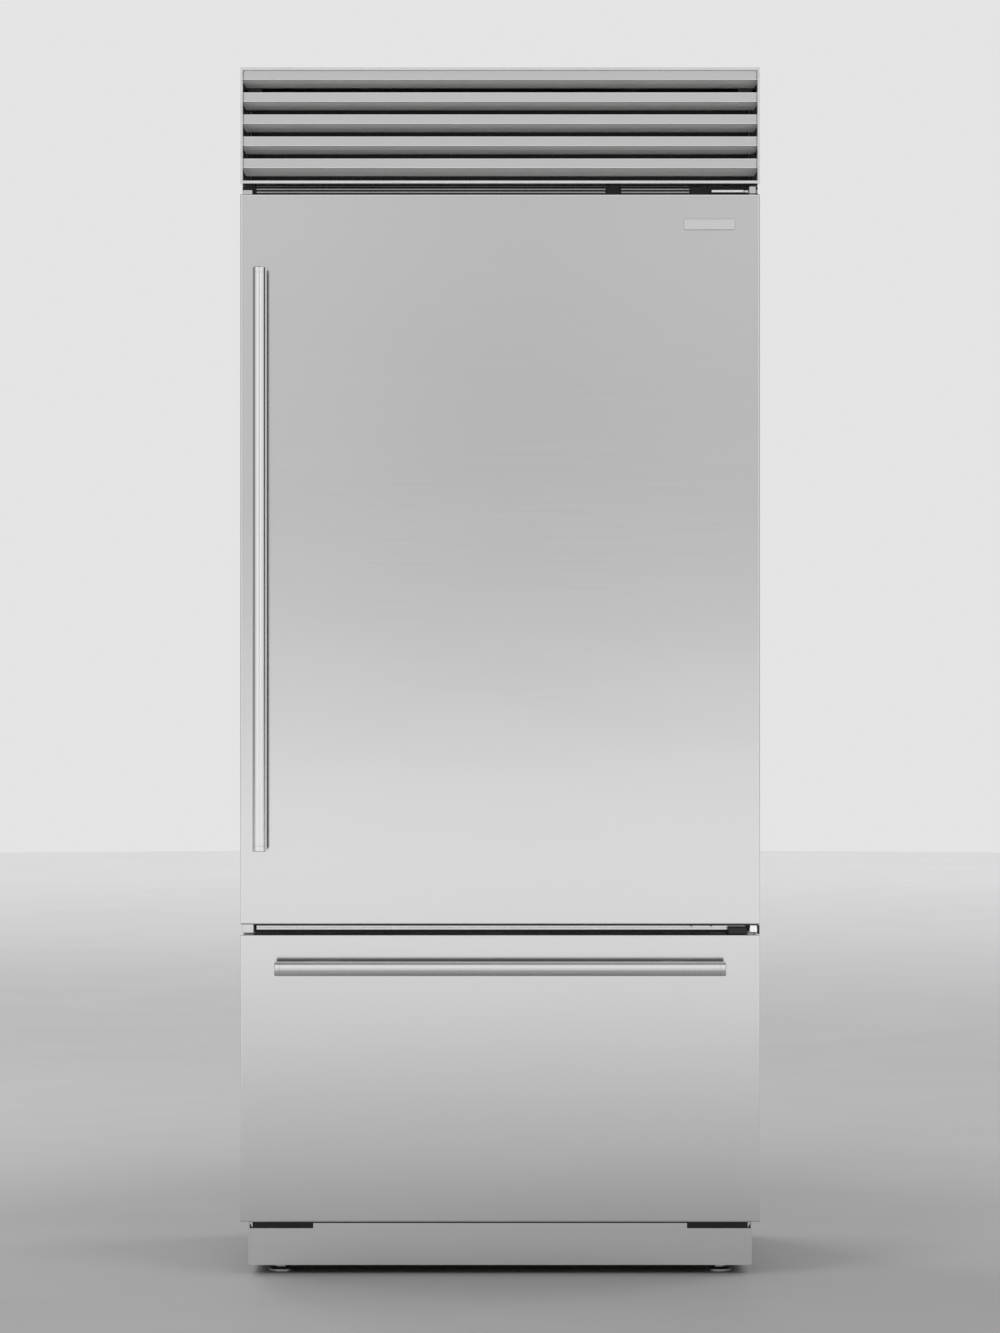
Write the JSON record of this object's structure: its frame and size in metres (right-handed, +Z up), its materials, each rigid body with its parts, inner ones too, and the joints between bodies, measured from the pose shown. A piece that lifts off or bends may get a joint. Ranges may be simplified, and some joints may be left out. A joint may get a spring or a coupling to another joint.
{
  "type": "refrigerator",
  "caption": "Tall built-in refrigerator with a louvred grille on top, a right-hinged fridge door with a tube handle and a freezer drawer below, on a recessed kick plate.",
  "frame": {"origin": "on the floor, at the middle of the whole width and depth, handles included", "axes": "+Z up, +X to the viewer's right, the doors face -Y"},
  "size_m": [0.914, 0.67, 2.134],
  "materials": {
    "brushed_stainless": "fine horizontal brushing, satin",
    "handle_steel": "satin, turned",
    "cabinet_steel": "galvanised grey",
    "foam": "rigid foam",
    "liner_plastic": "satin white",
    "gasket_rubber": "matt",
    "base_paint": "black powder coat",
    "duct_plastic": "satin",
    "coil_metal": "mill finish",
    "shelf_metal": "anodised satin",
    "shelf_glass": "clear, polished edge",
    "panel_plastic": "satin grey",
    "hinge_steel": "satin",
    "runner_steel": "zinc plated",
    "compressor_paint": "black gloss",
    "shroud_plastic": "matt black",
    "copper": "drawn copper",
    "box_paint": "grey",
    "ice_plastic": "satin",
    "clear_plastic": "clear, moulded",
    "bush_nylon": "nylon",
    "bin_plastic": "white, moulded",
    "fan_plastic": "matt",
    "leg_steel": "zinc plated",
    "roller_plastic": "nylon",
    "button_plastic": "white",
    "arm_wire": "drawn wire"
  },
  "bodies": {
    "cabinet": {"cabinet_wrapper": "cabinet_steel", "back_panel": "cabinet_steel", "machine_tray": "cabinet_steel", "cabinet_foam": "foam", "face_frame": "brushed_stainless", "fridge_liner": "liner_plastic", "freezer_liner": "liner_plastic", "base_frame": "base_paint", "kick_plate": "brushed_stainless", "duct_covers": "duct_plastic", "evaporators": "coil_metal", "shelf_tracks": "shelf_metal", "shelf_frames": "shelf_metal", "shelf_glass": "shelf_glass", "crisper_frame": "duct_plastic", "control_panel": "panel_plastic", "door_hinges": "hinge_steel", "runner_outers": "runner_steel", "compressors": "compressor_paint", "condenser": "coil_metal", "fan_shroud": "shroud_plastic", "refrigerant_tubes": "copper", "control_box": "box_paint", "ice_maker": "ice_plastic"},
    "fridge_door": {"door_skin": "brushed_stainless", "door_foam": "foam", "door_liner": "liner_plastic", "door_gasket": "gasket_rubber", "door_handle_bar": "handle_steel", "door_handle_posts": "handle_steel", "door_bins": "clear_plastic", "dairy_box": "clear_plastic", "hinge_bushes": "bush_nylon"},
    "freezer_drawer": {"drawer_skin": "brushed_stainless", "drawer_foam": "foam", "drawer_liner": "liner_plastic", "drawer_gasket": "gasket_rubber", "drawer_handle_bar": "handle_steel", "drawer_handle_posts": "handle_steel", "freezer_bin": "bin_plastic", "ice_bin": "bin_plastic", "runner_inners": "runner_steel"},
    "grille": {"grille_frame": "brushed_stainless", "grille_louvres": "brushed_stainless"},
    "dairy_lid": {"dairy_lid": "clear_plastic"},
    "upper_basket": {"upper_basket": "bin_plastic"},
    "runner_middles": {"runner_middles": "runner_steel"},
    "crisper_left": {"crisper_left": "clear_plastic"},
    "crisper_right": {"crisper_right": "clear_plastic"},
    "deli_drawer": {"deli_drawer": "clear_plastic"},
    "condenser_fan": {"condenser_fan": "fan_plastic"},
    "fridge_fan": {"fridge_fan": "fan_plastic"},
    "freezer_fan": {"freezer_fan": "fan_plastic"},
    "leg_left": {"leg_left": "leg_steel"},
    "leg_right": {"leg_right": "leg_steel"},
    "roller_left": {"roller_left": "roller_plastic"},
    "roller_right": {"roller_right": "roller_plastic"},
    "button_colder": {"button_colder": "button_plastic"},
    "button_warmer": {"button_warmer": "button_plastic"},
    "ice_arm": {"ice_arm": "arm_wire"}
  },
  "joints": [
    {"name": "door_hinge", "type": "hinge", "parent": "cabinet", "child": "fridge_door", "pos_m": [0.4446, -0.261, 0.62], "axis": [0, 0, 1], "range_deg": [0, 110]},
    {"name": "dairy_lid_hinge", "type": "hinge", "parent": "fridge_door", "child": "dairy_lid", "pos_m": [0, -0.121, 1.808], "axis": [1, 0, 0], "range_deg": [0, 85]},
    {"name": "drawer_slide", "type": "slide", "parent": "cabinet", "child": "freezer_drawer", "axis": [0, -1, 0], "range_m": [0, 0.45]},
    {"name": "runner_middle_slide", "type": "slide", "parent": "cabinet", "child": "runner_middles", "axis": [0, -1, 0], "range_m": [0, 0.225]},
    {"name": "basket_slide", "type": "slide", "parent": "freezer_drawer", "child": "upper_basket", "axis": [0, 1, 0], "range_m": [0, 0.1]},
    {"name": "crisper_left_slide", "type": "slide", "parent": "cabinet", "child": "crisper_left", "axis": [0, -1, 0], "range_m": [0, 0.231]},
    {"name": "crisper_right_slide", "type": "slide", "parent": "cabinet", "child": "crisper_right", "axis": [0, -1, 0], "range_m": [0, 0.231]},
    {"name": "deli_drawer_slide", "type": "slide", "parent": "cabinet", "child": "deli_drawer", "axis": [0, -1, 0], "range_m": [0, 0.231]},
    {"name": "grille_flip", "type": "hinge", "parent": "cabinet", "child": "grille", "pos_m": [0, -0.213, 2.108], "axis": [-1, 0, 0], "range_deg": [0, 70]},
    {"name": "condenser_fan_spin", "type": "hinge", "parent": "cabinet", "child": "condenser_fan", "pos_m": [-0.22, -0.086, 2.022], "axis": [0, 1, 0], "continuous": true},
    {"name": "fridge_fan_spin", "type": "hinge", "parent": "cabinet", "child": "fridge_fan", "pos_m": [0, 0.2595, 1.7395], "axis": [0, 1, 0], "continuous": true},
    {"name": "freezer_fan_spin", "type": "hinge", "parent": "cabinet", "child": "freezer_fan", "pos_m": [0, 0.2595, 0.5042], "axis": [0, 1, 0], "continuous": true},
    {"name": "leg_left_turn", "type": "hinge", "parent": "cabinet", "child": "leg_left", "pos_m": [-0.39, -0.1495, 0.04], "axis": [0, 0, 1], "range_deg": [0, 360]},
    {"name": "leg_right_turn", "type": "hinge", "parent": "cabinet", "child": "leg_right", "pos_m": [0.39, -0.1495, 0.04], "axis": [0, 0, 1], "range_deg": [0, 360]},
    {"name": "roller_left_spin", "type": "hinge", "parent": "cabinet", "child": "roller_left", "pos_m": [-0.39, 0.269, 0.024], "axis": [1, 0, 0], "continuous": true},
    {"name": "roller_right_spin", "type": "hinge", "parent": "cabinet", "child": "roller_right", "pos_m": [0.39, 0.269, 0.024], "axis": [1, 0, 0], "continuous": true},
    {"name": "button_colder_press", "type": "slide", "parent": "cabinet", "child": "button_colder", "axis": [0, 1, 0], "range_m": [0, 0.001], "stiffness_N_per_m": 600},
    {"name": "button_warmer_press", "type": "slide", "parent": "cabinet", "child": "button_warmer", "axis": [0, 1, 0], "range_m": [0, 0.001], "stiffness_N_per_m": 600},
    {"name": "ice_arm_swing", "type": "hinge", "parent": "cabinet", "child": "ice_arm", "pos_m": [-0.25, 0.04, 0.5128], "axis": [-1, 0, 0], "range_deg": [0, 35]}
  ],
  "couplings": [
    {"joint": "runner_middle_slide", "follows": "drawer_slide", "ratio": 0.5},
    {"joint": "crisper_left_slide", "follows": "door_hinge", "m_per_rad": 0.12},
    {"joint": "crisper_right_slide", "follows": "door_hinge", "m_per_rad": 0.12},
    {"joint": "deli_drawer_slide", "follows": "door_hinge", "m_per_rad": 0.12}
  ]
}
